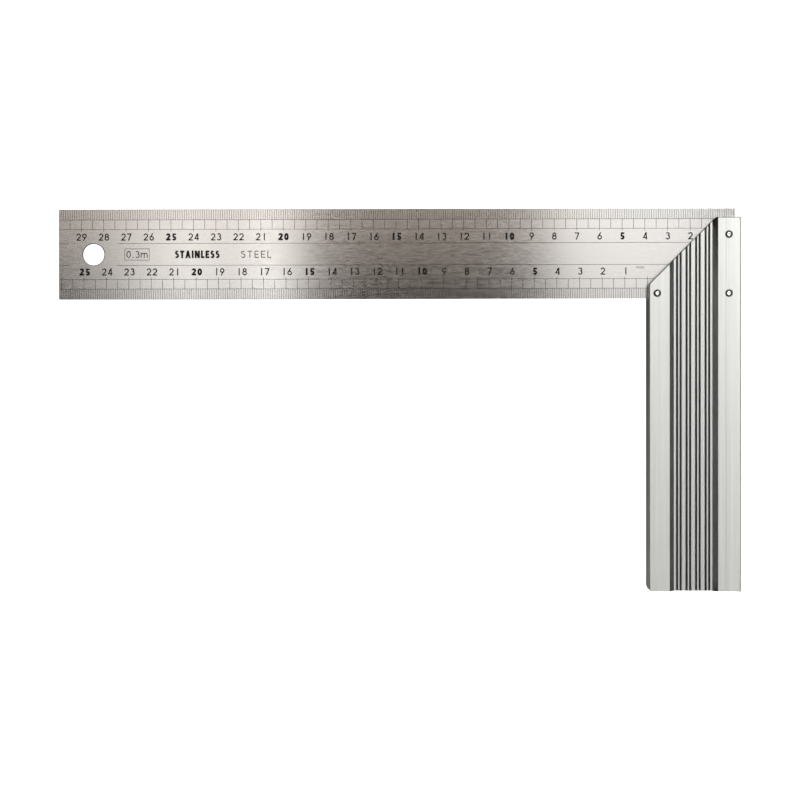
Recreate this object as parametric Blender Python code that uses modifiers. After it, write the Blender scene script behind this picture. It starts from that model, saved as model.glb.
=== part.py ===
"""Steel square: a steel blade held in the saw slot of a ribbed stock by three rivets.

Frame: metres, +Z up. The square stands on the stock's outer face, with the stock lying
along X, the blade rising along Z at the +X end, and Y across the thickness. The origin
is at the bottom centre of the whole square.
"""
import math

import bmesh
import bpy
from mathutils import Matrix, Vector

# Blade
BLADE_LENGTH = 0.300
BLADE_WIDTH = 0.040
BLADE_THICK = 0.001
BLADE_SETBACK = 0.0012        # from the stock's outer face to the blade's buried end
HANG_HOLE_R = 0.005
HANG_HOLE_FROM_TIP = 0.0154

# Stock, an extrusion with the same ribbed recess on its front and back
STOCK_LENGTH = 0.164
STOCK_WIDTH = 0.040
STOCK_THICK = 0.018
STOCK_INSET = 0.0047          # from the blade's outer edge to the stock's top end
OUTER_LAND = 0.010            # flat beside the outer face
INNER_LAND = 0.009            # flat beside the inner face
EDGE_CHAMFER = 0.0004
RECESS_DEPTH = 0.0032
RECESS_SLOPE = 0.0020         # how far each sloped wall runs across the width
MITRE_LEG = 0.0293            # both legs of the 45 degree corner
HEEL_CUT = (0.0006, 0.0014)   # small corner cut at the stock's far inner end: across, along

# Grooves in the recess floor: pairs at an even pitch
GROOVE_PAIRS = 4
GROOVE_PITCH = 0.00417
GROOVE_SPACING = 0.00155      # between the two grooves of a pair
GROOVE_TOP = 0.0009
GROOVE_BOTTOM = 0.00025
GROOVE_DEPTH = 0.0012

# Fits
GAP = 0.00025                 # clearance between neighbouring pieces
OVERSHOOT = 0.002             # how far cutters run past the faces they open

# Rivets: places are (below the blade's outer edge, above the stock's outer face)
RIVETS = {
    "rivet_outer_top": (0.0122, 0.0052),
    "rivet_outer_bottom": (0.0380, 0.0052),
    "rivet_inner": (0.0380, 0.0365),
}
SHANK_R = 0.0010
HEAD_R = 0.0014               # widest part of the upset head
HEAD_FACE_R = 0.00095         # flat face of the head, level with the stock
HEAD_DEPTH = 0.0008           # from the face down to the widest part
HEAD_TAPER = 0.0004           # from the widest part back to the shank
SINK_R = HEAD_R + 0.0003
SINK_DEPTH = HEAD_DEPTH + HEAD_TAPER + GAP
ROUND_SIDES = 24
HANG_HOLE_SIDES = 64

TOP = (STOCK_INSET + STOCK_LENGTH) / 2      # X of the blade's outer edge
STOCK_TOP = TOP - STOCK_INSET
STOCK_MID = STOCK_TOP - STOCK_LENGTH / 2
BLADE_LOW = TOP - BLADE_WIDTH               # X of the blade's inner edge
TIP = BLADE_SETBACK + BLADE_LENGTH          # Z of the blade's free end

# Turns an outline drawn in (Z, Y) so that its extrusion runs along X
ALONG_X = Matrix(((0, 0, 1, 0), (0, 1, 0, 0), (1, 0, 0, 0), (0, 0, 0, 1)))
# Turns an outline drawn in (X, Z) so that its extrusion runs along Y
ALONG_Y = Matrix(((1, 0, 0, 0), (0, 0, -1, 0), (0, 1, 0, 0), (0, 0, 0, 1)))


def clear_scene():
    for obj in list(bpy.data.objects):
        bpy.data.objects.remove(obj, do_unlink=True)


def new_collection(name):
    group = bpy.data.collections.new(name)
    bpy.context.scene.collection.children.link(group)
    return group


def material(name, colour, roughness, metallic=1.0):
    mat = bpy.data.materials.new(name)
    mat.use_nodes = True
    shader = mat.node_tree.nodes["Principled BSDF"]
    shader.inputs["Base Color"].default_value = (*colour, 1.0)
    shader.inputs["Roughness"].default_value = roughness
    shader.inputs["Metallic"].default_value = metallic
    return mat


def circle(centre, radius, sides):
    """Points of a round hole's outline."""
    steps = (2 * math.pi * i / sides for i in range(sides))
    return [(centre[0] + radius * math.cos(a), centre[1] + radius * math.sin(a)) for a in steps]


def outward(mesh):
    """Weld a mesh's loose caps and point its faces out."""
    work = bmesh.new()
    work.from_mesh(mesh)
    bmesh.ops.remove_doubles(work, verts=work.verts, dist=1e-6)
    bmesh.ops.recalc_face_normals(work, faces=work.faces)
    work.to_mesh(mesh)
    work.free()


def extruded(name, loops, depth, turn, group):
    """A flat outline, with any holes as further loops, extruded evenly about its plane."""
    curve = bpy.data.curves.new(name + "_outline", "CURVE")
    curve.dimensions = "2D"
    curve.fill_mode = "BOTH"
    curve.extrude = depth / 2
    for points in loops:
        spline = curve.splines.new("POLY")
        spline.points.add(len(points) - 1)
        for slot, (u, v) in zip(spline.points, points):
            slot.co = (u, v, 0, 1)
        spline.use_cyclic_u = True
    drawn = bpy.data.objects.new(name + "_outline", curve)
    group.objects.link(drawn)
    bpy.context.view_layer.update()
    evaluated = drawn.evaluated_get(bpy.context.evaluated_depsgraph_get())
    mesh = bpy.data.meshes.new_from_object(evaluated)
    mesh.name = name
    mesh.transform(turn)
    outward(mesh)
    solid = bpy.data.objects.new(name, mesh)
    group.objects.link(solid)
    bpy.data.objects.remove(drawn, do_unlink=True)
    return solid


def box(name, low, high, group):
    """A box between two corners."""
    mesh = bpy.data.meshes.new(name)
    work = bmesh.new()
    bmesh.ops.create_cube(work, size=1.0)
    low = Vector(low)
    high = Vector(high)
    size = Matrix.Diagonal((*(high - low), 1.0))
    bmesh.ops.transform(work, matrix=Matrix.Translation((low + high) / 2) @ size, verts=work.verts)
    work.to_mesh(mesh)
    work.free()
    solid = bpy.data.objects.new(name, mesh)
    group.objects.link(solid)
    return solid


def turned(name, profile, centre, group):
    """A solid turned about an axis along Y, from (radius, height) points on one side."""
    mesh = bpy.data.meshes.new(name)
    work = bmesh.new()
    rows = [work.verts.new((radius, 0, height)) for radius, height in profile]
    for start, end in zip(rows, rows[1:]):
        work.edges.new((start, end))
    work.to_mesh(mesh)
    work.free()
    solid = bpy.data.objects.new(name, mesh)
    group.objects.link(solid)
    screw = solid.modifiers.new("Turn", "SCREW")
    screw.angle = 2 * math.pi
    screw.steps = ROUND_SIDES
    screw.render_steps = ROUND_SIDES
    screw.use_merge_vertices = True
    screw.merge_threshold = 0.00001
    solid.location = centre
    solid.rotation_euler = (math.radians(90), 0, 0)
    return solid


def cut(target, cutter):
    """Subtract one solid from another, keeping the cutter as a hidden guide."""
    cutter.hide_render = True
    cutter.display_type = "WIRE"
    boolean = target.modifiers.new("Cut " + cutter.name, "BOOLEAN")
    boolean.operation = "DIFFERENCE"
    boolean.solver = "EXACT"
    boolean.object = cutter


def smooth_round(solid):
    solid.data.shade_smooth()
    solid.data.set_sharp_from_angle(angle=math.radians(30))


def groove_centres():
    """How far each groove lies above the outer face."""
    middle = (OUTER_LAND + STOCK_WIDTH - INNER_LAND) / 2
    for pair in range(GROOVE_PAIRS):
        centre = middle + (pair - (GROOVE_PAIRS - 1) / 2) * GROOVE_PITCH
        yield centre - GROOVE_SPACING / 2
        yield centre + GROOVE_SPACING / 2


def stock_side():
    """One side of the extrusion, from outer to inner face, as (height, half thickness)."""
    face = STOCK_THICK / 2
    floor = face - RECESS_DEPTH
    side = [(0, face - EDGE_CHAMFER), (EDGE_CHAMFER, face)]
    side += [(OUTER_LAND, face), (OUTER_LAND + RECESS_SLOPE, floor)]
    for centre in groove_centres():
        side.append((centre - GROOVE_TOP / 2, floor))
        side.append((centre - GROOVE_BOTTOM / 2, floor - GROOVE_DEPTH))
        side.append((centre + GROOVE_BOTTOM / 2, floor - GROOVE_DEPTH))
        side.append((centre + GROOVE_TOP / 2, floor))
    inner_edge = STOCK_WIDTH - INNER_LAND
    side += [(inner_edge - RECESS_SLOPE, floor), (inner_edge, face)]
    side += [(STOCK_WIDTH - EDGE_CHAMFER, face), (STOCK_WIDTH, face - EDGE_CHAMFER)]
    return side


def rivet_profile():
    """Half of a rivet's outline, top to bottom, with an upset head at each end."""
    half = STOCK_THICK / 2
    top = [
        (0, half),
        (HEAD_FACE_R, half),
        (HEAD_R, half - HEAD_DEPTH),
        (SHANK_R, half - HEAD_DEPTH - HEAD_TAPER),
    ]
    return top + [(radius, -height) for radius, height in reversed(top)]


def sink_profile():
    """Half of a rivet hole's outline, with a counterbore at each end."""
    half = STOCK_THICK / 2
    shank = SHANK_R + GAP
    top = [(0, half + OVERSHOOT), (SINK_R, half + OVERSHOOT)]
    top += [(SINK_R, half - SINK_DEPTH), (shank, half - SINK_DEPTH)]
    return top + [(radius, -height) for radius, height in reversed(top)]


def rivet_place(name):
    below, above = RIVETS[name]
    return Vector((TOP - below, 0, above))


def build_blade(parts):
    corners = [(BLADE_LOW, BLADE_SETBACK), (TOP, BLADE_SETBACK), (TOP, TIP), (BLADE_LOW, TIP)]
    hang_hole = circle((TOP - BLADE_WIDTH / 2, TIP - HANG_HOLE_FROM_TIP), HANG_HOLE_R, HANG_HOLE_SIDES)
    loops = [corners, hang_hole]
    for name in RIVETS:
        place = rivet_place(name)
        loops.append(circle((place.x, place.z), SHANK_R + GAP, ROUND_SIDES))
    blade = extruded("blade", loops, BLADE_THICK, ALONG_Y, parts)
    blade.data.materials.append(material("brushed_steel", (0.62, 0.61, 0.59), 0.32))
    smooth_round(blade)


def build_stock(parts, cutters):
    side = stock_side()
    outline = side + [(height, -depth) for height, depth in reversed(side)]
    along = Matrix.Translation((STOCK_MID, 0, 0)) @ ALONG_X
    stock = extruded("stock", [outline], STOCK_LENGTH, along, parts)
    stock.data.materials.append(material("anodised_aluminium", (0.72, 0.73, 0.72), 0.38))

    thick = STOCK_THICK + 2 * OVERSHOOT
    cut(stock, extruded("mitre_cutter", [mitre_outline()], thick, ALONG_Y, cutters))
    cut(stock, extruded("heel_cutter", [heel_outline()], thick, ALONG_Y, cutters))
    half_slot = BLADE_THICK / 2 + GAP
    slot_low = (BLADE_LOW - GAP, -half_slot, -OVERSHOOT)
    slot_high = (TOP, half_slot, STOCK_WIDTH + OVERSHOOT)
    cut(stock, box("slot_cutter", slot_low, slot_high, cutters))
    for name in RIVETS:
        cut(stock, turned(name + "_hole", sink_profile(), rivet_place(name), cutters))
    smooth_round(stock)


def mitre_outline():
    """Triangle taken off the stock's inner top corner, run past both faces at 45 degrees."""
    past = OVERSHOOT
    low = (STOCK_TOP - MITRE_LEG - past, STOCK_WIDTH + past)
    high = (STOCK_TOP + past, STOCK_WIDTH - MITRE_LEG - past)
    return [low, high, (STOCK_TOP + past, STOCK_WIDTH + past)]


def heel_outline():
    """Small triangle taken off the far inner corner, run past both faces on its own slope."""
    across, along = HEEL_CUT
    end = STOCK_TOP - STOCK_LENGTH
    low = (end - along, STOCK_WIDTH - 2 * across)
    high = (end + 2 * along, STOCK_WIDTH + across)
    return [low, high, (end - along, STOCK_WIDTH + across)]


def build_rivets(parts):
    steel = material("rivet_steel", (0.78, 0.78, 0.76), 0.30)
    for name in RIVETS:
        rivet = turned(name, rivet_profile(), rivet_place(name), parts)
        rivet.data.materials.append(steel)
        smooth_round(rivet)


def main():
    clear_scene()
    parts = new_collection("steel_square")
    cutters = new_collection("cutters")
    build_blade(parts)
    build_stock(parts, cutters)
    build_rivets(parts)


main()
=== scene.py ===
"""Looks of the steel square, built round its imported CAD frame.

A graduated blade of brushed stainless steel stands in the saw slot of a ribbed aluminium
stock and is held there by three rivets. Everything is in metres and in the frame's own axes:
Z along the blade, X along the stock and Y across the thickness. Shapes that are easier to
read in millimetres say so, and are multiplied by MM where they are placed.
"""
import math

import bmesh
import bpy
import numpy as np
from mathutils import Matrix, Vector
from mathutils.geometry import delaunay_2d_cdt


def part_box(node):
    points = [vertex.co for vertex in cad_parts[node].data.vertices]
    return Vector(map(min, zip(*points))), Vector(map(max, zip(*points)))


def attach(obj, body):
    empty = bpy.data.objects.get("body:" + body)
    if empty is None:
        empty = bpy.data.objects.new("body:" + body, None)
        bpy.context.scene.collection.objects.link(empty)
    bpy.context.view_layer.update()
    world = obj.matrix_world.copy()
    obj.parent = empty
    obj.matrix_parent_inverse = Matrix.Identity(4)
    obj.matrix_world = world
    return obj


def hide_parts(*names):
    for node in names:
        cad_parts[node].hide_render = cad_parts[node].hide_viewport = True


MM = 0.001

# Camera: where it stands, the point on the blade that it looks at, its small roll
CAMERA_PLACE = Vector((0.0030, -0.9547, 0.1256))
CAMERA_AIM = Vector((-0.00038, 0.0, 0.14945))
CAMERA_ROLL = math.radians(0.03)
CAMERA_LENS = 96.9
CAMERA_SENSOR = 36.0

# Blade, mm
HANG_HOLE_R = 4.75            # inside its rounded edges
HANG_HOLE_SPREAD = 2.5        # how many times wider than high that rounding is
HANG_HOLE_FROM_TIP = 15.5
CORNER_R = 0.5                # rounding of the blade's corners, seen from the front
EDGE_BREAK = 0.15             # rounding of the edges of the blade's faces
EDGE_STEPS = 3                # steps in that rounding
CORNER_STEPS = 3              # steps in an outline's rounded corner, on the blade and the stock
RIVET_HOLE_R = 1.25
BLADE_BOW = math.radians(2.0)  # lean of the faces at the long edges, in shading only
UV_LEAN = (0.3, 0.5)          # the blade's map leans this much across and along with thickness

# Marks on the blade, mm
CM = 10.0
OUTER_SCALE_LONG = 300
INNER_SCALE_LONG = 260
OUTER_NUMBER_SHIFT = 0.1      # how far the numbers stand to the right of their ticks
INNER_NUMBER_SHIFT = 0.3
BOLD_EVERY = 5
TICK_WIDE = 0.155
LONG_TICK_WIDE = 0.18
LINE_WIDE = 0.16
LINES = (4.66, 8.90, 15.15)   # ruled lines, from each long edge
LONG_TICK_PAST = 0.9          # how far a centimetre tick runs past the second line
NUMBER_FROM_EDGE = 12.24
NUMBER_HIGH = 3.2
NUMBER_ADVANCE = 2.6
NUMBER_WIDE = 2.04
LIGHT_STROKE = 0.51
BOLD_STROKE = 0.86
INK_PROUD = 0.01
INK_SUNK = 0.05

# Print between the third ruled lines, mm from the tip
THIRD_LINES = (EDGE_BREAK, 4.6, 26.0)  # a short piece, a gap beside the hole, then to the stock
BOX_ENDS = (29.3, 40.4)
BOX_HIGH = 5.2
BOX_LINE = 0.2
# The text, its middle from the tip, its height, a figure's width, the stroke, the gap
PRINT = (
    ("0.3m", 34.85, 3.06, 1.95, 0.38, 0.5),
    ("STAINLESS", 61.7, 3.4, 2.0, 0.85, 0.45),
    ("STEEL", 87.9, 3.1, 2.2, 0.36, 1.0),
)
UNIT = ("mm", 1.3, 1.05, 0.15, 0.25)  # as in PRINT, without its middle
UNIT_FROM_OUTER = 43.2        # the unit's middle, along the blade from the stock's outer face
UNIT_FROM_EDGE = 13.9

# Stock, mm
STOCK_CORNER_R = 0.5
SCRIBE_FROM_OUTER = 6.5
SCRIBE_WIDE = 0.16
SCRIBE_DEEP = 0.09
OUTER_LAND = 10.0
INNER_LAND = 9.0
LAND_RELIEF = (1.1, 0.045)     # slight fall of the inner land beside the recess: across, down
LAND_EDGE_R = 0.3
RECESS_DEPTH = 3.2
RECESS_SLOPE = 2.0
RECESS_CORNER_R = 0.15
GROOVE_PAIRS = 4
GROOVE_PITCH = 4.17
GROOVE_SPACING = 1.55
GROOVE_WIDE = 0.9
GROOVE_DEPTH = 1.2
GROOVE_EDGE_R = 0.06
GROOVE_ROOT_R = 0.03
MITRE_LEG = 29.3
HEEL_CUT = (0.6, 1.4)         # small cut at the far inner corner: across, along
SLOT_GAP = 0.25
SAWN_EDGE_SHADE = 0.2               # width of the strip of painted shade beside the sawn edges
SINK_R = 1.7
SINK_DEPTH = 1.45
HOLE_REACH = 1.02             # a face is in a rivet hole if it is nearer than this times SINK_R
OVERSHOOT = 2.0

# Rivets, mm: one end's turned outline, from its middle, as (radius, depth below the end)
RIVET_END = (
    (0.0, 0.06),
    (0.12, 0.05),
    (0.24, 0.01),
    (0.70, 0.0),
    (0.92, 0.02),
    (1.02, 0.10),
    (1.07, 0.25),
    (1.38, 1.05),
    (1.40, 1.15),
    (1.0, 1.2),
)
ROUND_SIDES = 48

FLAT = 0.999                  # the Y part of a normal past which a face of the blade is flat
SAWN = 0.5                    # the X part of a normal past which a face of the stock is sawn
STOCK_SMOOTH = 32             # sharpest bend that is shaded smooth, degrees
RIVET_SMOOTH = 40
WELD = 1e-6                   # corners closer than this count as one

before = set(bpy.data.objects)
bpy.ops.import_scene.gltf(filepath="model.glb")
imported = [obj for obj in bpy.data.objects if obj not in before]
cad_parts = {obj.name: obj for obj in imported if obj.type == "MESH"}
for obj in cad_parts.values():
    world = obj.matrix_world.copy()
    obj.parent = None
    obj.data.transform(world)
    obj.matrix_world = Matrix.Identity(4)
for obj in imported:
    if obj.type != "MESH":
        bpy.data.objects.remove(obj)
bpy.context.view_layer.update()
BLADE_LOW, BLADE_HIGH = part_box("blade")
STOCK_LOW, STOCK_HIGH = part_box("stock")
RIVET_NODES = ("rivet_outer_top", "rivet_outer_bottom", "rivet_inner")


def mid(node):
    low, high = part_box(node)
    return (low + high) / 2


# Mesh helpers -------------------------------------------------------------------------------


def link(obj):
    bpy.context.scene.collection.objects.link(obj)
    return obj


def object_from(name, work):
    """A new object from a bmesh, with its faces pointing out."""
    bmesh.ops.recalc_face_normals(work, faces=work.faces)
    mesh = bpy.data.meshes.new(name)
    work.to_mesh(mesh)
    work.free()
    return link(bpy.data.objects.new(name, mesh))


def inside(points, polygon):
    """Which of the points lie inside a polygon, by counting the edges to their right."""
    u, v = points.T
    hits = np.zeros(len(points), bool)
    for (u0, v0), (u1, v1) in zip(polygon, (*polygon[1:], polygon[0])):
        if v0 != v1:
            crossing = u0 + (v - v0) * (u1 - u0) / (v1 - v0)
            hits ^= ((v0 <= v) != (v1 <= v)) & (u < crossing)
    return hits


def slab(name, polygons, low, high, place):
    """A closed flat solid: the union of some polygons, between two heights.

    place(u, v, height) gives the point in the frame.
    """
    points = []
    edges = []
    for polygon in polygons:
        first = len(points)
        count = len(polygon)
        points += [Vector(p) for p in polygon]
        edges += [(first + i, first + (i + 1) % count) for i in range(count)]
    corners, _, triangles, *_ = delaunay_2d_cdt(points, edges, [], 0, WELD)
    flat = np.array([tuple(c) for c in corners])
    centres = flat[np.array(triangles)].mean(axis=1)
    wanted = np.zeros(len(centres), bool)
    for polygon in polygons:
        wanted |= inside(centres, polygon)
    kept = [triangle for triangle, keep in zip(triangles, wanted) if keep]
    work = bmesh.new()
    used = sorted({i for triangle in kept for i in triangle})
    floor = {i: work.verts.new(place(corners[i][0], corners[i][1], low)) for i in used}
    roof = {i: work.verts.new(place(corners[i][0], corners[i][1], high)) for i in used}
    sides = {}
    for triangle in kept:
        work.faces.new([roof[i] for i in triangle])
        work.faces.new([floor[i] for i in reversed(triangle)])
        for start, end in zip(triangle, (*triangle[1:], triangle[0])):
            key = frozenset((start, end))
            sides[key] = None if key in sides else (start, end)
    for pair in filter(None, sides.values()):
        start, end = pair
        work.faces.new((roof[start], floor[start], floor[end], roof[end]))
    return object_from(name, work)


def rounded_plate(name, outlines, radius, half, place):
    """A flat plate whose face edges are rounded, from its outside and then its holes.

    Each outline gives its polygon at some distance in from the edge.
    """
    turns = [math.pi / 2 * k / EDGE_STEPS for k in range(EDGE_STEPS + 1)]
    top = [(radius * (1 - math.sin(t)), half - radius * (1 - math.cos(t))) for t in turns]
    profile = top + [(inset, -height) for inset, height in reversed(top)]
    work = bmesh.new()
    points = []
    edges = []
    roof = []
    floor = []
    for outline in outlines:
        rings = []
        for inset, height in profile:
            rings.append([work.verts.new(place(u, v, height)) for u, v in outline(inset)])
        count = len(rings[0])
        edges += [(len(points) + i, len(points) + (i + 1) % count) for i in range(count)]
        points += [Vector(p) for p in outline(radius)]
        roof += rings[0]
        floor += rings[-1]
        for near, far in zip(rings, rings[1:]):
            for i in range(count):
                j = (i + 1) % count
                work.faces.new((near[i], near[j], far[j], far[i]))
    triangles = delaunay_2d_cdt(points, edges, [], 0, WELD)[2]
    flat = np.array([tuple(p) for p in points])
    centres = flat[np.array(triangles)].mean(axis=1)
    wanted = inside(centres, outlines[0](radius))
    for outline in outlines[1:]:
        wanted &= ~inside(centres, outline(radius))
    for triangle, keep in zip(triangles, wanted):
        if keep:
            work.faces.new([roof[i] for i in triangle])
            work.faces.new([floor[i] for i in reversed(triangle)])
    return object_from(name, work)


def prism(name, outline, low, high, place):
    """A closed solid from one outline, between two heights, with whole faces as its caps."""
    work = bmesh.new()
    floor = [work.verts.new(place(u, v, low)) for u, v in outline]
    roof = [work.verts.new(place(u, v, high)) for u, v in outline]
    work.faces.new(roof)
    work.faces.new(list(reversed(floor)))
    for i in range(len(outline)):
        j = (i + 1) % len(outline)
        work.faces.new((roof[i], floor[i], floor[j], roof[j]))
    return object_from(name, work)


def turned(name, profile, centre):
    """A closed solid turned about an axis along Y, from (radius, height) points."""
    work = bmesh.new()
    rings = []
    for radius, height in profile:
        if radius == 0:
            rings.append([work.verts.new(centre + Vector((0, height, 0)))])
            continue
        ring = []
        for step in range(ROUND_SIDES):
            angle = 2 * math.pi * step / ROUND_SIDES
            out = Vector((radius * math.cos(angle), height, radius * math.sin(angle)))
            ring.append(work.verts.new(centre + out))
        rings.append(ring)
    for near, far in zip(rings, rings[1:]):
        for i in range(ROUND_SIDES):
            j = (i + 1) % ROUND_SIDES
            corners = (near[i % len(near)], near[j % len(near)], far[j % len(far)], far[i % len(far)])
            work.faces.new(list(dict.fromkeys(corners)))
    return object_from(name, work)


def cut(target, *cutters):
    """Subtract some solids from another and apply the result."""
    for cutter in cutters:
        boolean = target.modifiers.new("Cut", "BOOLEAN")
        boolean.operation = "DIFFERENCE"
        boolean.solver = "EXACT"
        boolean.object = cutter
    apply_modifiers(target)
    for cutter in cutters:
        bpy.data.objects.remove(cutter, do_unlink=True)


def apply_modifiers(obj):
    bpy.context.view_layer.update()
    evaluated = obj.evaluated_get(bpy.context.evaluated_depsgraph_get())
    mesh = bpy.data.meshes.new_from_object(evaluated)
    mesh.name = obj.name
    obj.modifiers.clear()
    obj.data = mesh


FLAT_FACE_WEIGHT = 100


def smooth_round(obj, angle):
    """Smooth shading up to an angle in degrees, with large flat faces kept flat."""
    obj.data.shade_smooth()
    obj.data.set_sharp_from_angle(angle=math.radians(angle))
    weighted = obj.modifiers.new("Flat faces", "WEIGHTED_NORMAL")
    weighted.weight = FLAT_FACE_WEIGHT
    weighted.keep_sharp = True


def arc(centre, radii, start, end, steps):
    """Points along an ellipse, from one angle in degrees to another."""
    for k in range(steps + 1):
        angle = math.radians(start + (end - start) * k / steps)
        yield (centre[0] + radii[0] * math.cos(angle), centre[1] + radii[1] * math.sin(angle))


def rounded(corners):
    """An outline whose corners, given as (u, v, radius), are rounded by quadratic curves."""
    outline = []
    for i, (u, v, radius) in enumerate(corners):
        here = Vector((u, v))
        if radius == 0:
            outline.append(here)
            continue
        back = Vector(corners[i - 1][:2]) - here
        ahead = Vector(corners[(i + 1) % len(corners)][:2]) - here
        reach = radius / math.tan(back.angle(ahead) / 2)
        start = here + back.normalized() * reach
        end = here + ahead.normalized() * reach
        for k in range(CORNER_STEPS + 1):
            t = k / CORNER_STEPS
            outline.append(start * (1 - t) ** 2 + here * 2 * t * (1 - t) + end * t**2)
    return [(p.x, p.y) for p in outline]


# Material helpers ---------------------------------------------------------------------------


def node(tree, kind, inputs=None, **settings):
    """Add a node, set it, and fill its inputs with values or with links from other sockets."""
    made = tree.nodes.new(kind)
    for key, value in settings.items():
        setattr(made, key, value)
    for key, value in (inputs or {}).items():
        if isinstance(value, bpy.types.NodeSocket):
            tree.links.new(value, made.inputs[key])
        else:
            made.inputs[key].default_value = value
    return made


def math_node(tree, operation, first, second=0.0):
    return node(tree, "ShaderNodeMath", {0: first, 1: second}, operation=operation).outputs[0]


def vector_node(tree, operation, inputs):
    return node(tree, "ShaderNodeVectorMath", inputs, operation=operation).outputs[0]


def product(tree, factors):
    total = 1.0
    for factor in factors:
        total = math_node(tree, "MULTIPLY", total, factor)
    return total


def object_axes(tree, kind="Object"):
    """X, Y and Z of the place, or of the normal, in the object's own space."""
    coordinates = node(tree, "ShaderNodeTexCoord").outputs[kind]
    return node(tree, "ShaderNodeSeparateXYZ", {0: coordinates}).outputs[:3]


NOISE_ROUGHNESS = 0.6
NOISE_RANGE = (0.3, 0.7)      # nearly all of a noise's values lie between these


def noise(tree, scale, detail):
    """Noise in the object's own space, with its own scale along each axis, per metre."""
    place = node(tree, "ShaderNodeTexCoord").outputs["Object"]
    stretched = vector_node(tree, "MULTIPLY", {0: place, 1: scale})
    inputs = {"Vector": stretched, "Scale": 1.0, "Detail": detail, "Roughness": NOISE_ROUGHNESS}
    return node(tree, "ShaderNodeTexNoise", inputs).outputs["Fac"]


def remap(tree, value, low, high, to_low, to_high, kind="LINEAR"):
    inputs = {"Value": value, 1: low, 2: high, 3: to_low, 4: to_high}
    return node(tree, "ShaderNodeMapRange", inputs, interpolation_type=kind).outputs[0]


def between(tree, noisy, low, high):
    """A noise's values spread from low to high."""
    return remap(tree, noisy, *NOISE_RANGE, low, high)


def paint(tree, shader, amount, dark, light):
    """Base colour as a blend of two colours."""
    inputs = {0: amount, 6: (*dark, 1.0), 7: (*light, 1.0)}
    blend = node(tree, "ShaderNodeMix", inputs, data_type="RGBA").outputs[2]
    tree.links.new(blend, shader.inputs["Base Color"])


def emboss(tree, shader, height, distance, normals=None):
    """Shading as if the surface rose with the height, by up to a distance in metres."""
    inputs = {"Height": height, "Distance": distance, "Strength": 1.0}
    if normals is not None:
        inputs["Normal"] = normals
    bump = node(tree, "ShaderNodeBump", inputs)
    tree.links.new(bump.outputs[0], shader.inputs["Normal"])


def new_material(name, metallic):
    mat = bpy.data.materials.new(name)
    mat.use_nodes = True
    shader = mat.node_tree.nodes["Principled BSDF"]
    shader.inputs["Metallic"].default_value = metallic
    return mat, mat.node_tree, shader


STEEL_DARK = (0.605, 0.588, 0.567)
STEEL_LIGHT = (0.765, 0.744, 0.717)
STREAK_SHARE = 0.75           # of the fine streaks in the brushing, beside the broad ones


def brushed_steel():
    """Stainless steel brushed along Z: its highlights spread across the blade."""
    mat, tree, shader = new_material("brushed_steel", 1.0)
    shader.inputs["Anisotropic"].default_value = 1.0
    across = node(tree, "ShaderNodeTangent", direction_type="UV_MAP", uv_map="brushing")
    tree.links.new(across.outputs["Tangent"], shader.inputs["Tangent"])
    streaks = noise(tree, (3000, 3000, 500), 2.0)
    broad = noise(tree, (1000, 1000, 120), 2.0)
    fine = math_node(tree, "MULTIPLY", streaks, STREAK_SHARE)
    grain = math_node(tree, "ADD", fine, math_node(tree, "MULTIPLY", broad, 1 - STREAK_SHARE))
    paint(tree, shader, between(tree, grain, 0.0, 1.0), STEEL_DARK, STEEL_LIGHT)
    tree.links.new(between(tree, grain, 0.14, 0.22), shader.inputs["Roughness"])
    emboss(tree, shader, streaks, 1.5e-6, across_bow(tree))
    return mat


def across_bow(tree):
    """Normals of a strip that is very slightly rounded across its width."""
    across = object_axes(tree)[0]
    lean = remap(tree, across, BLADE_LOW.x, BLADE_HIGH.x, -BLADE_BOW, BLADE_BOW)
    lean = node(tree, "ShaderNodeCombineXYZ", {"X": lean}).outputs[0]
    normal = node(tree, "ShaderNodeNewGeometry").outputs["Normal"]
    return vector_node(tree, "NORMALIZE", {0: vector_node(tree, "ADD", {0: normal, 1: lean})})


def etched_ink():
    """Nearly black fill of the etched marks."""
    mat, tree, shader = new_material("etched_ink", 0.0)
    shader.inputs["Specular IOR Level"].default_value = 0.1
    shader.inputs["Roughness"].default_value = 0.6
    patches = between(tree, noise(tree, (2500, 2500, 2500), 3.0), 0.0, 1.0)
    paint(tree, shader, patches, (0.003, 0.003, 0.003), (0.010, 0.009, 0.008))
    return mat


ALUMINIUM = (0.89, 0.90, 0.87)
WALL_SLOPES = (0.1, 0.4)      # how sloped a face is, from nearly flat to a recess wall, over which painted shade comes in
DIE_GRAIN_SHARE = 0.3         # height of the fine grain beside the die lines


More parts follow.
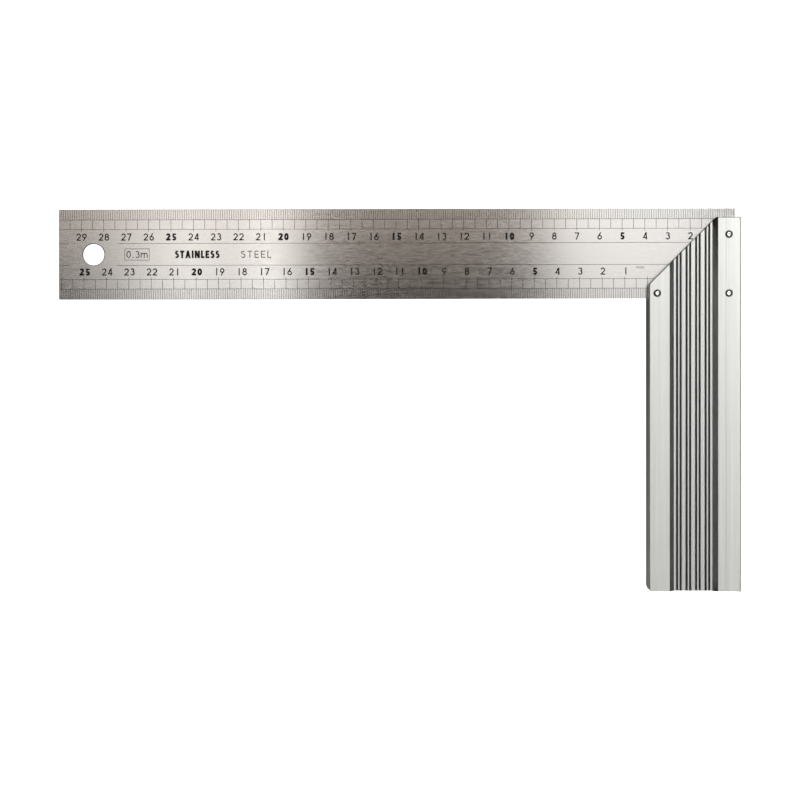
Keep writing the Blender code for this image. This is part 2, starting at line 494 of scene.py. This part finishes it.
def extruded_aluminium():
    """Satin natural aluminium with die lines along X, with shade painted darker in the recess and in a
    strip beside the sawn edges.
    """
    mat, tree, shader = new_material("extruded_aluminium", 1.0)
    lines = noise(tree, (14, 3000, 3000), 3.0)
    bands = noise(tree, (3, 500, 500), 1.0)
    grain = noise(tree, (4000, 6000, 6000), 2.0)
    out = math_node(tree, "ABSOLUTE", object_axes(tree)[1])
    _, facing_out, facing_up = object_axes(tree, "Normal")
    slope = math_node(tree, "ABSOLUTE", math_node(tree, "MULTIPLY", facing_out, facing_up))
    land = STOCK_HIGH.y
    floor = land - RECESS_DEPTH * MM
    # The die lines and bands are the metal's own tone; the other factors are painted shade.
    shade = product(tree, (
        between(tree, lines, 0.86, 1.0),
        between(tree, bands, 0.92, 1.0),
        # Painted shade: darker down into the recess, on its sloped walls and down into the grooves
        remap(tree, out, floor, land, 0.88, 1.0),
        remap(tree, slope, *WALL_SLOPES, 1.0, 0.86),
        remap(tree, out, floor - GROOVE_DEPTH * MM, floor, 0.45, 1.0),
        # Painted shade in a thin strip beside the mitre and the top end
        remap(tree, from_sawn_edges(tree), SAWN_EDGE_SHADE * MM, 1.6 * SAWN_EDGE_SHADE * MM, 0.2, 1.0),
    ))
    paint(tree, shader, shade, (0.0, 0.0, 0.0), ALUMINIUM)
    rough = remap(tree, out, floor, land, 0.28, 0.33)
    rough = math_node(tree, "ADD", rough, between(tree, lines, -0.02, 0.02))
    tree.links.new(rough, shader.inputs["Roughness"])
    height = math_node(tree, "ADD", lines, math_node(tree, "MULTIPLY", grain, DIE_GRAIN_SHARE))
    height = math_node(tree, "MULTIPLY", height, remap(tree, out, floor, land, 0.1, 1.0))
    emboss(tree, shader, height, 3e-6)
    return mat


def from_sawn_edges(tree):
    """Distance to the mitre or to the stock's top end, whichever is nearer."""
    along, _, up = object_axes(tree)
    mitre = STOCK_HIGH.x + STOCK_HIGH.z - MITRE_LEG * MM
    from_mitre = math_node(tree, "SUBTRACT", mitre, math_node(tree, "ADD", along, up))
    from_mitre = math_node(tree, "MULTIPLY", from_mitre, math.sqrt(0.5))
    return math_node(tree, "MINIMUM", from_mitre, math_node(tree, "SUBTRACT", STOCK_HIGH.x, along))


def dull_metal(name, dark, light):
    """A cut face: rougher than the surface round it and marked across by the tool, with shade painted
    in as a base colour much darker than the metal's own.
    """
    mat, tree, shader = new_material(name, 1.0)
    marks = noise(tree, (3500, 25, 3500), 3.0)
    paint(tree, shader, between(tree, marks, 0.0, 1.0), (dark, dark, dark), (light, light, light))
    tree.links.new(between(tree, marks, 0.38, 0.50), shader.inputs["Roughness"])
    emboss(tree, shader, marks, 5e-6)
    return mat


RIVET_SHADE_DEPTHS = (0.3, 0.1)       # mm below the land: where the rivets' painted shade is darkest, where it ends


def bright_steel():
    """Rivets: polished ends with a few small dents, with shade painted darker further in."""
    mat, tree, shader = new_material("bright_steel", 1.0)
    dents = noise(tree, (1500, 1500, 1500), 2.0)
    out = math_node(tree, "ABSOLUTE", object_axes(tree)[1])
    # Painted shade: the base colour darkens down into the counterbore
    shade_darkest, bright = (STOCK_HIGH.y - depth * MM for depth in RIVET_SHADE_DEPTHS)
    shade = remap(tree, out, shade_darkest, bright, 0.0, 1.0)
    paint(tree, shader, shade, (0.12, 0.12, 0.12), (0.93, 0.93, 0.91))
    tree.links.new(between(tree, dents, 0.18, 0.26), shader.inputs["Roughness"])
    emboss(tree, shader, dents, 6e-6)
    return mat


# Lettering ----------------------------------------------------------------------------------
# A plain geometric face. A glyph is one unit high and wide units wide, and is drawn as a few
# overlapping polygons. The numbers in a glyph are its own proportions.

CURVE_STEPS = 20
STROKE_BEND = 0.5             # a bent stroke widens at its corners by no more than one over this
UPPER_BOWL = 0.45             # share of a figure's height that its upper bowl takes
SMALL_HIGH = 0.75             # height of a small letter beside a figure


def bar(left, bottom, right, top):
    return [[(left, bottom), (right, bottom), (right, top), (left, top)]]


def slant(start, end, weight):
    """A straight stroke whose ends are cut level."""
    run = Vector(end) - Vector(start)
    half = weight * run.length / abs(run.y) / 2
    foot = [(start[0] - half, start[1]), (start[0] + half, start[1])]
    return [[*foot, (end[0] + half, end[1]), (end[0] - half, end[1])]]


def stroke(points, weight):
    """A bent stroke of even weight, as one quadrilateral for each step along its middle line."""
    middle = [Vector(p) for p in points]
    edges = []
    for i, point in enumerate(middle):
        before = (point - middle[i - 1]).normalized() if i else None
        after = (middle[i + 1] - point).normalized() if i + 1 < len(middle) else None
        along = ((before or after) + (after or before)).normalized()
        across = Vector((-along.y, along.x))
        reach = across * weight / 2 / max(STROKE_BEND, abs(along.dot(after or before)))
        edges.append((point + reach, point - reach))
    return [[a[0], a[1], b[1], b[0]] for a, b in zip(edges, edges[1:])]


def bowls(wide, weight):
    """Middle lines of a figure's upper and lower bowls, as (centre, radii)."""
    half = weight / 2
    upper = UPPER_BOWL * (1 - weight) / 2
    lower = (1 - UPPER_BOWL) * (1 - weight) / 2
    top = ((wide / 2, 1 - half - upper), (0.84 * (wide / 2 - half), upper))
    bottom = ((wide / 2, half + lower), (wide / 2 - half, lower))
    return top, bottom


def figure_0(wide, weight):
    half = weight / 2
    return stroke(arc((wide / 2, 0.5), (wide / 2 - half, 0.5 - half), 0, 360, 2 * CURVE_STEPS), weight)


def figure_1(wide, weight):
    middle = 0.58 * wide
    return bar(middle - weight / 2, 0, middle + weight / 2, 1)


def figure_2(wide, weight):
    half = weight / 2
    radius = wide / 2 - half
    top = list(arc((wide / 2, 1 - half - radius), (radius, radius), 172, -38, CURVE_STEPS))
    foot = (0.9 * half + 0.02, half)
    return stroke([*top, foot], weight) + bar(0, 0, wide, weight)


def figure_3(wide, weight):
    (top, top_radii), (bottom, bottom_radii) = bowls(wide, weight)
    upper = arc(top, top_radii, 155, -90, CURVE_STEPS)
    lower = arc(bottom, bottom_radii, 90, -158, CURVE_STEPS)
    return stroke(upper, weight) + stroke(lower, weight)


def figure_4(wide, weight):
    stem = 0.76 * wide
    level = 0.2
    shapes = bar(stem - weight / 2, 0, stem + weight / 2, 1)
    shapes += bar(0, level, wide, level + 0.9 * weight)
    return shapes + slant((0.6 * weight, level), (stem - 0.1 * weight, 1), weight)


def figure_5(wide, weight):
    half = weight / 2
    tall = 0.64
    bowl = arc((wide / 2 - 0.01, tall / 2), (wide / 2 - half, tall / 2 - half), 142, -152, CURVE_STEPS)
    left = 0.17 * wide
    shapes = slant((left + 0.25 * weight, 0.42), (left + 0.4 * weight, 1), 0.75 * weight)
    return shapes + stroke(bowl, weight) + bar(left, 1 - 0.9 * weight, 0.94 * wide, 1)


def figure_6(wide, weight):
    half = weight / 2
    radius = wide / 2 - half
    bowl = arc((wide / 2, half + radius), (radius, radius), 0, 360, 2 * CURVE_STEPS)
    return stroke(bowl, weight) + slant((0.12 * wide + half, 0.46), (0.72 * wide, 1), weight)


def figure_7(wide, weight):
    return bar(0, 1 - weight, wide, 1) + slant((0.34 * wide, 0), (0.86 * wide, 1 - weight / 2), weight)


def figure_8(wide, weight):
    shapes = []
    for centre, radii in bowls(wide, weight):
        shapes += stroke(arc(centre, radii, 0, 360, 2 * CURVE_STEPS), weight)
    return shapes


def figure_9(wide, weight):
    return [[(wide - u, 1 - v) for u, v in shape] for shape in figure_6(wide, weight)]


def point_mark(wide, weight):
    return bar(wide / 2 - 0.6 * weight, 0, wide / 2 + 0.6 * weight, 1.2 * weight)


def letter_m(wide, weight):
    shapes = []
    step = (wide - weight) / 2
    for k in range(3):
        left = k * step
        shapes += bar(left, 0, left + weight, SMALL_HIGH if k == 0 else SMALL_HIGH - step / 2)
    for k in range(2):
        centre = (weight / 2 + (k + 0.5) * step, SMALL_HIGH - weight / 2 - step / 2)
        shapes += stroke(arc(centre, (step / 2, step / 2), 180, 0, CURVE_STEPS), weight)
    return shapes


def letter_s(wide, weight):
    (top, top_radii), (bottom, bottom_radii) = bowls(wide, weight)
    upper = list(arc(top, top_radii, 35, 270, CURVE_STEPS))
    lower = list(arc(bottom, bottom_radii, 90, -148, CURVE_STEPS))
    return stroke(upper + lower[1:], weight)


def letter_t(wide, weight):
    return bar(0, 1 - weight, wide, 1) + bar(wide / 2 - weight / 2, 0, wide / 2 + weight / 2, 1)


def letter_a(wide, weight):
    foot = 0.55 * weight
    shapes = slant((foot, 0), (wide / 2, 1), weight) + slant((wide - foot, 0), (wide / 2, 1), weight)
    return shapes + bar(0.2 * wide, 0.2, 0.8 * wide, 0.2 + 0.8 * weight)


def letter_i(wide, weight):
    return bar(wide / 2 - weight / 2, 0, wide / 2 + weight / 2, 1)


def letter_n(wide, weight):
    shapes = bar(0, 0, weight, 1) + bar(wide - weight, 0, wide, 1)
    return shapes + slant((wide - 0.6 * weight, 0), (0.6 * weight, 1), weight)


def letter_l(wide, weight):
    return bar(0, 0, weight, 1) + bar(0, 0, wide, weight)


def letter_e(wide, weight):
    shapes = bar(0, 0, weight, 1) + bar(0, 0, wide, weight) + bar(0, 1 - weight, wide, 1)
    return shapes + bar(0, 0.5 - weight / 2, 0.9 * wide, 0.5 + weight / 2)


# Each glyph with its width as a share of a figure's width
GLYPHS = {
    "0": (figure_0, 1.0),
    "1": (figure_1, 1.0),
    "2": (figure_2, 1.0),
    "3": (figure_3, 1.0),
    "4": (figure_4, 1.0),
    "5": (figure_5, 1.0),
    "6": (figure_6, 1.0),
    "7": (figure_7, 1.0),
    "8": (figure_8, 1.0),
    "9": (figure_9, 1.0),
    ".": (point_mark, 0.5),
    "m": (letter_m, 1.55),
    "A": (letter_a, 1.20),
    "E": (letter_e, 0.85),
    "I": (letter_i, 0.45),
    "L": (letter_l, 0.80),
    "N": (letter_n, 1.15),
    "S": (letter_s, 0.92),
    "T": (letter_t, 0.95),
}


def text_shapes(text, centre, high, figure_wide, weight, gap):
    """Polygons of a line of text about a centre, all in mm."""
    wides = [GLYPHS[character][1] * figure_wide for character in text]
    left = centre[0] - (sum(wides) + gap * (len(text) - 1)) / 2
    bottom = centre[1] - high / 2
    shapes = []
    for character, wide in zip(text, wides):
        glyph = GLYPHS[character][0](wide / high, weight / high)
        shapes += [[(left + high * u, bottom + high * v) for u, v in shape] for shape in glyph]
        left += wide + gap
    return shapes


# Blade --------------------------------------------------------------------------------------

BLADE_WIDE = (BLADE_HIGH.x - BLADE_LOW.x) / MM
BLADE_LONG = (BLADE_HIGH.z - BLADE_LOW.z) / MM
BLADE_THICK = (BLADE_HIGH.y - BLADE_LOW.y) / MM


def front_place(u, v, height):
    """From (distance from the tip, up from the inner edge, in front of the mid-plane), mm."""
    return Vector((BLADE_LOW.x + v * MM, -height * MM, BLADE_HIGH.z - u * MM))


def back_place(u, v, height):
    """From (distance from the buried end, up from the inner edge, behind the mid-plane), mm."""
    return Vector((BLADE_LOW.x + v * MM, height * MM, BLADE_LOW.z + u * MM))


def planar_uv(mesh, name):
    """A map whose U runs across the blade and V along it, leaning so that its edges have area."""
    layer = mesh.uv_layers.new(name=name)
    for loop in mesh.loops:
        place = mesh.vertices[loop.vertex_index].co
        layer.data[loop.index].uv = (place.x + UV_LEAN[0] * place.y, place.z + UV_LEAN[1] * place.y)


def blade_outline(inset):
    corner = CORNER_R - inset
    right = BLADE_LONG - inset
    top = BLADE_WIDE - inset
    corners = ((inset, inset), (right, inset), (right, top), (inset, top))
    return rounded([(*place, corner) for place in corners])


def round_hole(centre, radius, sides, spread=1.0):
    """A hole's outline as a function of the distance in from its edge, times some spread."""
    def outline(inset):
        reach = radius + spread * inset
        return list(arc(centre, (reach, reach), 0, 360, sides))[:-1]

    return outline


def hole_outlines():
    hang_hole = (HANG_HOLE_FROM_TIP, BLADE_WIDE / 2)
    yield round_hole(hang_hole, HANG_HOLE_R, 2 * ROUND_SIDES, HANG_HOLE_SPREAD)
    for name in RIVET_NODES:
        place = mid(name)
        centre = ((BLADE_HIGH.z - place.z) / MM, (place.x - BLADE_LOW.x) / MM)
        yield round_hole(centre, RIVET_HOLE_R, ROUND_SIDES)


def round_axis(polygon, axis):
    """Distance of a face's middle from an axis along Y."""
    return math.hypot(polygon.center.x - axis.x, polygon.center.z - axis.z)


def make_blade():
    outlines = [blade_outline, *hole_outlines()]
    blade = rounded_plate("steel_blade", outlines, EDGE_BREAK, BLADE_THICK / 2, front_place)
    planar_uv(blade.data, "brushing")
    blade.data.materials.append(brushed_steel())
    # Painted shade: the hole's rounded edge and wall take a base colour darker than the blade's
    blade.data.materials.append(dull_metal("punched_steel", 0.22, 0.30))
    hole = front_place(HANG_HOLE_FROM_TIP, BLADE_WIDE / 2, 0)
    reach = (HANG_HOLE_R + 2 * HANG_HOLE_SPREAD * EDGE_BREAK) * MM
    for polygon in blade.data.polygons:
        punched = round_axis(polygon, hole) < reach and abs(polygon.normal.y) < FLAT
        polygon.material_index = int(punched)
    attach(blade, "root")
    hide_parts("blade")


def scale_shapes(along, zero, edge, inward, long, shift):
    """Ticks, ruled lines and numbers of one scale.

    along gives the reading position of a distance from the tip, zero is the scale's origin
    as such a distance, edge the long edge it starts at, and inward +1 or -1 away from it.
    """
    def strip(near, far, middle, wide):
        low, high = sorted((edge + inward * near, edge + inward * far))
        return bar(middle - wide / 2, low, middle + wide / 2, high)

    shapes = []
    for count in range(long + 1):
        middle = along(zero - count)
        if not EDGE_BREAK < middle < BLADE_LONG - EDGE_BREAK:
            continue
        shapes += strip(EDGE_BREAK, LINES[0], middle, TICK_WIDE)
        if count % (CM / 2) == 0:
            past = LONG_TICK_PAST if count % CM == 0 else 0
            shapes += strip(LINES[0], LINES[1] + past, middle, LONG_TICK_WIDE)
    for line in LINES[:2]:
        shapes += ruled_line(along, EDGE_BREAK, BLADE_LONG - EDGE_BREAK, edge + inward * line)
    gap = NUMBER_ADVANCE - NUMBER_WIDE
    for number in range(1, int((long - 1) / CM) + 1):
        weight = LIGHT_STROKE if number % BOLD_EVERY else BOLD_STROKE
        centre = (along(zero - number * CM) + shift, edge + inward * NUMBER_FROM_EDGE)
        shapes += text_shapes(str(number), centre, NUMBER_HIGH, NUMBER_WIDE, weight, gap)
    return shapes


def ruled_line(along, near, far, place):
    low, high = sorted((along(near), along(far)))
    return bar(low, place - LINE_WIDE / 2, high, place + LINE_WIDE / 2)


def print_shapes(along):
    """Third ruled lines, with the hole's surround left clear, and the lettering between them."""
    middle = BLADE_WIDE / 2
    start, stop, restart = THIRD_LINES
    shapes = []
    for place in (LINES[2], BLADE_WIDE - LINES[2]):
        shapes += ruled_line(along, start, stop, place)
        shapes += ruled_line(along, restart, BLADE_LONG - EDGE_BREAK, place)
    low, high = sorted(along(end) for end in BOX_ENDS)
    shapes += frame_shapes(low, middle - BOX_HIGH / 2, high, middle + BOX_HIGH / 2, BOX_LINE)
    for text, from_tip, *sizes in PRINT:
        shapes += text_shapes(text, (along(from_tip), middle), *sizes)
    unit, *sizes = UNIT
    shapes += text_shapes(unit, (along(BLADE_HIGH.z / MM - UNIT_FROM_OUTER), UNIT_FROM_EDGE), *sizes)
    return shapes


def frame_shapes(left, bottom, right, top, weight):
    shapes = bar(left, bottom, right, bottom + weight) + bar(left, top - weight, right, top)
    return shapes + bar(left, bottom, left + weight, top) + bar(right - weight, bottom, right, top)


def make_marks():
    ink = etched_ink()
    outer = (BLADE_LONG, BLADE_WIDE, -1, OUTER_SCALE_LONG, OUTER_NUMBER_SHIFT)
    inner_zero = (BLADE_HIGH.z - STOCK_HIGH.z) / MM
    inner = (inner_zero, 0, 1, INNER_SCALE_LONG, INNER_NUMBER_SHIFT)
    half = BLADE_THICK / 2
    faces = {
        "front": (front_place, lambda distance: distance),
        "back": (back_place, lambda distance: BLADE_LONG - distance),
    }
    for face, (place, along) in faces.items():
        groups = {
            "outer_scale": scale_shapes(along, *outer),
            "inner_scale": scale_shapes(along, *inner),
            "print": print_shapes(along),
        }
        for group, shapes in groups.items():
            marks = slab(f"{group}_{face}", shapes, half - INK_SUNK, half + INK_PROUD, place)
            marks.data.materials.append(ink)
            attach(marks, "root")


# Stock --------------------------------------------------------------------------------------


def stock_place(u, v, height):
    """From (above the outer face, out of the mid-plane, along the stock), mm."""
    return Vector((height * MM, v * MM, STOCK_LOW.z + u * MM))


def flat_place(u, v, height):
    """From (along the stock, above the outer face, across the thickness), mm."""
    return Vector((u * MM, height * MM, STOCK_LOW.z + v * MM))


def groove_centres(wide):
    middle = (OUTER_LAND + wide - INNER_LAND) / 2
    for pair in range(GROOVE_PAIRS):
        centre = middle + (pair - (GROOVE_PAIRS - 1) / 2) * GROOVE_PITCH
        yield centre - GROOVE_SPACING / 2
        yield centre + GROOVE_SPACING / 2


def stock_side(wide, face):
    """One side of the extrusion, as (above the outer face, out of the mid-plane, radius)."""
    floor = face - RECESS_DEPTH
    inner_edge = wide - INNER_LAND
    grooves = []
    for centre in groove_centres(wide):
        grooves.append((centre - GROOVE_WIDE / 2, floor, GROOVE_EDGE_R))
        grooves.append((centre, floor - GROOVE_DEPTH, GROOVE_ROOT_R))
        grooves.append((centre + GROOVE_WIDE / 2, floor, GROOVE_EDGE_R))
    return [
        (0, face, STOCK_CORNER_R),
        (SCRIBE_FROM_OUTER - SCRIBE_WIDE / 2, face, 0),
        (SCRIBE_FROM_OUTER, face - SCRIBE_DEEP, 0),
        (SCRIBE_FROM_OUTER + SCRIBE_WIDE / 2, face, 0),
        (OUTER_LAND, face, LAND_EDGE_R),
        (OUTER_LAND + RECESS_SLOPE, floor, RECESS_CORNER_R),
        *grooves,
        (inner_edge - RECESS_SLOPE, floor, RECESS_CORNER_R),
        (inner_edge, face - LAND_RELIEF[1], LAND_EDGE_R),
        (inner_edge + LAND_RELIEF[0], face, 0),
        (wide, face, STOCK_CORNER_R),
    ]


def stock_cutters(low, high, wide):
    """The mitre, the small heel cut, the saw slot and the rivet holes, from the stock's mm."""
    mitre = [
        (high.x - MITRE_LEG - OVERSHOOT, wide + OVERSHOOT),
        (high.x + OVERSHOOT, wide - MITRE_LEG - OVERSHOOT),
        (high.x + OVERSHOOT, wide + OVERSHOOT),
    ]
    across, along = HEEL_CUT
    heel = [
        (low.x - along, wide - 2 * across),
        (low.x + 2 * along, wide + across),
        (low.x - along, wide + across),
    ]
    past = high.y + OVERSHOOT
    blade_low = BLADE_LOW.x / MM - SLOT_GAP
    half_slot = BLADE_THICK / 2 + SLOT_GAP
    slot = bar(blade_low, -OVERSHOOT, high.x + OVERSHOOT, wide + OVERSHOOT)[0]
    yield prism("mitre_cutter", mitre, -past, past, flat_place)
    yield prism("heel_cutter", heel, -past, past, flat_place)
    yield prism("slot_cutter", slot, -half_slot, half_slot, flat_place)
    for name in RIVET_NODES:
        yield turned(name + "_hole", sink_profile(high.y), mid(name))


def make_stock():
    low = STOCK_LOW / MM
    high = STOCK_HIGH / MM
    wide = high.z - low.z
    side = stock_side(wide, high.y)
    corners = side + [(height, -out, radius) for height, out, radius in reversed(side)]
    stock = prism("ribbed_stock", rounded(corners), low.x, high.x, stock_place)
    cut(stock, *stock_cutters(low, high, wide))
    smooth_round(stock, STOCK_SMOOTH)
    stock.data.materials.append(extruded_aluminium())
    # Painted shade: the sawn ends and the rivet sinks take base colours far darker than the
    # extrusion's
    stock.data.materials.append(dull_metal("sawn_aluminium", 0.40, 0.52))
    stock.data.materials.append(dull_metal("drilled_aluminium", 0.30, 0.38))
    holes = [mid(name) for name in RIVET_NODES]
    for polygon in stock.data.polygons:
        drilled = min(round_axis(polygon, hole) for hole in holes) < HOLE_REACH * SINK_R * MM
        sawn = abs(polygon.normal.x) > SAWN
        polygon.material_index = 2 if drilled else int(sawn)
    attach(stock, "root")
    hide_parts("stock")


def sink_profile(face):
    """Outline of a rivet hole with a counterbore at each end, in metres."""
    top = [(0, face + OVERSHOOT), (SINK_R, face + OVERSHOOT)]
    top += [(SINK_R, face - SINK_DEPTH), (RIVET_HOLE_R, face - SINK_DEPTH)]
    return both_ends(top)


def both_ends(top):
    """A turned outline in metres, from its upper half in mm."""
    both = top + [(radius, -height) for radius, height in reversed(top)]
    return [(radius * MM, height * MM) for radius, height in both]


def make_rivets():
    steel = bright_steel()
    for name in RIVET_NODES:
        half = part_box(name)[1].y / MM
        profile = both_ends([(radius, half - depth) for radius, depth in RIVET_END])
        rivet = turned(name.replace("rivet", "rivet_pin"), profile, mid(name))
        smooth_round(rivet, RIVET_SMOOTH)
        rivet.data.materials.append(steel)
        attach(rivet, "root")
        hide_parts(name)


# Studio -------------------------------------------------------------------------------------
# Soft cards on upright planes one metre from the square, seen only in its reflections. A card
# is its facing azimuth in degrees (0 in front, 90 beyond the blade's outer edge), its left,
# right, bottom and top edge in metres, how soft its side and level edges are, its strength.

CARDS = (
    (0, -0.15, 0.20, 0.11, 0.135, 0.20, (0.02, 0.13), 3.0),
    (0, -0.15, 0.20, 0.075, 0.097, 0.10, (0.02, 0.02), 2.8),
    (0, -0.12, 0.44, -0.125, -0.045, 0.65, (0.03, 0.02), 1.72),
    (0, 0.13, 1.00, -0.35, -0.15, 0.35, (0.07, 0.02), 4.4),
    (0, -0.60, 1.25, -0.265, -0.21, 0.80, (0.02, 0.02), 3.0),
    (90, -0.80, 0.80, -0.90, 0.35, 0.40, (0.30, 0.30), 0.60),
    (-90, -0.80, 0.80, -0.90, 0.35, 0.40, (0.30, 0.30), 0.55),
    (180, 0.00, 1.00, 0.00, 0.30, 0.40, (0.12, 0.40), 0.44),
)
# The same low and high card at each of the four corners
CORNERS = (45, 135, 225, 315)
CORNER_CARDS = (
    (-0.45, 0.45, -0.90, -0.12, 0.30, (0.30, 0.20), 0.60),
    (-0.45, 0.45, 0.20, 0.60, 0.30, (0.20, 0.30), 0.26),
)
# A warmer card beyond the blade's outer edge, for the dark stretch between the bright ones
FILL = (0, 0.20, 0.43, -0.06, 0.50, 0.10, (0.02, 0.40), 1.5)
FILL_COLOUR = (1.0, 0.88, 0.79)
WHITE = (1.0, 1.0, 1.0)
BACKDROP_WHITE = 1.3
LEAST_AHEAD = 0.02            # a card's plane ends this close to square with its own direction


def card_light(tree, direction, card):
    """Brightness that one card adds in each direction."""
    azimuth, left, right, bottom, top, side_blur, level_blurs, strength = card
    turn = Matrix.Rotation(math.radians(azimuth), 3, "Z")
    reaches = []
    for axis in ((0, -1, 0), (1, 0, 0), (0, 0, 1)):
        inputs = {0: direction, 1: turn @ Vector(axis)}
        dot = node(tree, "ShaderNodeVectorMath", inputs, operation="DOT_PRODUCT")
        reaches.append(dot.outputs["Value"])
    ahead, aside, above = reaches
    u = math_node(tree, "DIVIDE", aside, ahead)
    v = math_node(tree, "DIVIDE", above, ahead)
    factors = [math_node(tree, "GREATER_THAN", ahead, LEAST_AHEAD)]
    edges = (
        (u, left, side_blur, 0, 1),
        (u, right, side_blur, 1, 0),
        (v, bottom, level_blurs[0], 0, 1),
        (v, top, level_blurs[1], 1, 0),
    )
    for value, edge, blur, before, after in edges:
        step = remap(tree, value, edge - blur / 2, edge + blur / 2, before, after, "SMOOTHSTEP")
        factors.append(step)
    return product(tree, (*factors, strength))


def make_world():
    world = bpy.data.worlds.new("studio")
    bpy.context.scene.world = world
    world.use_nodes = True
    tree = world.node_tree
    tree.nodes.clear()
    direction = node(tree, "ShaderNodeTexCoord").outputs["Generated"]
    light = 0.0
    corners = [(azimuth, *card) for azimuth in CORNERS for card in CORNER_CARDS]
    for card in [*CARDS, *corners]:
        light = math_node(tree, "ADD", card_light(tree, direction, card), light)
    plain = vector_node(tree, "SCALE", {0: WHITE, "Scale": light})
    fill = card_light(tree, direction, FILL)
    warm = vector_node(tree, "SCALE", {0: FILL_COLOUR, "Scale": fill})
    room = vector_node(tree, "ADD", {0: plain, 1: warm})
    cards = node(tree, "ShaderNodeBackground", {"Color": room, "Strength": 1.0})
    white = node(tree, "ShaderNodeBackground", {"Color": (*WHITE, 1.0), "Strength": BACKDROP_WHITE})
    seen = node(tree, "ShaderNodeLightPath").outputs["Is Camera Ray"]
    mixed = node(tree, "ShaderNodeMixShader", {0: seen, 1: cards.outputs[0], 2: white.outputs[0]})
    node(tree, "ShaderNodeOutputWorld", {"Surface": mixed.outputs[0]})


FLOOR_HALF = 40.0             # metres
FLOOR_BELOW = 0.05            # mm under the stock, so that the two don't share a plane
FLOOR_COLOUR = (0.93, 0.93, 0.93)
LAMP_STRENGTH = 9.0
LAMP_SPREAD = math.radians(60)


def make_floor():
    low = STOCK_LOW.z - FLOOR_BELOW * MM
    work = bmesh.new()
    corners = ((-1, -1), (1, -1), (1, 1), (-1, 1))
    work.faces.new([work.verts.new((u * FLOOR_HALF, v * FLOOR_HALF, low)) for u, v in corners])
    floor = object_from("floor", work)
    mat, _, shader = new_material("white_floor", 0.0)
    shader.inputs["Base Color"].default_value = (*FLOOR_COLOUR, 1.0)
    shader.inputs["Roughness"].default_value = 1.0
    shader.inputs["Specular IOR Level"].default_value = 0.0
    floor.data.materials.append(mat)
    floor.visible_glossy = False
    floor.visible_shadow = False


def make_lamp():
    """A wide soft light straight overhead, for the floor and the ink only."""
    data = bpy.data.lights.new("overhead", "SUN")
    data.angle = LAMP_SPREAD
    data.energy = LAMP_STRENGTH
    lamp = link(bpy.data.objects.new("overhead", data))
    lamp.visible_glossy = False


def make_camera():
    """The camera looks along Y, with the frame's X up in its picture."""
    data = bpy.data.cameras.new("camera")
    data.lens = CAMERA_LENS
    data.sensor_width = CAMERA_SENSOR
    camera = link(bpy.data.objects.new("camera", data))
    ahead = (CAMERA_AIM - CAMERA_PLACE).normalized()
    level = ahead.cross(Vector((1, 0, 0))).normalized()
    side = Matrix.Rotation(CAMERA_ROLL, 3, ahead) @ level
    up = side.cross(ahead)
    turn = Matrix((side, up, -ahead)).transposed().to_4x4()
    camera.matrix_world = Matrix.Translation(CAMERA_PLACE) @ turn
    bpy.context.scene.camera = camera


bpy.context.scene.view_settings.view_transform = "Standard"
make_camera()
make_world()
make_floor()
make_lamp()
make_blade()
make_marks()
make_stock()
make_rivets()
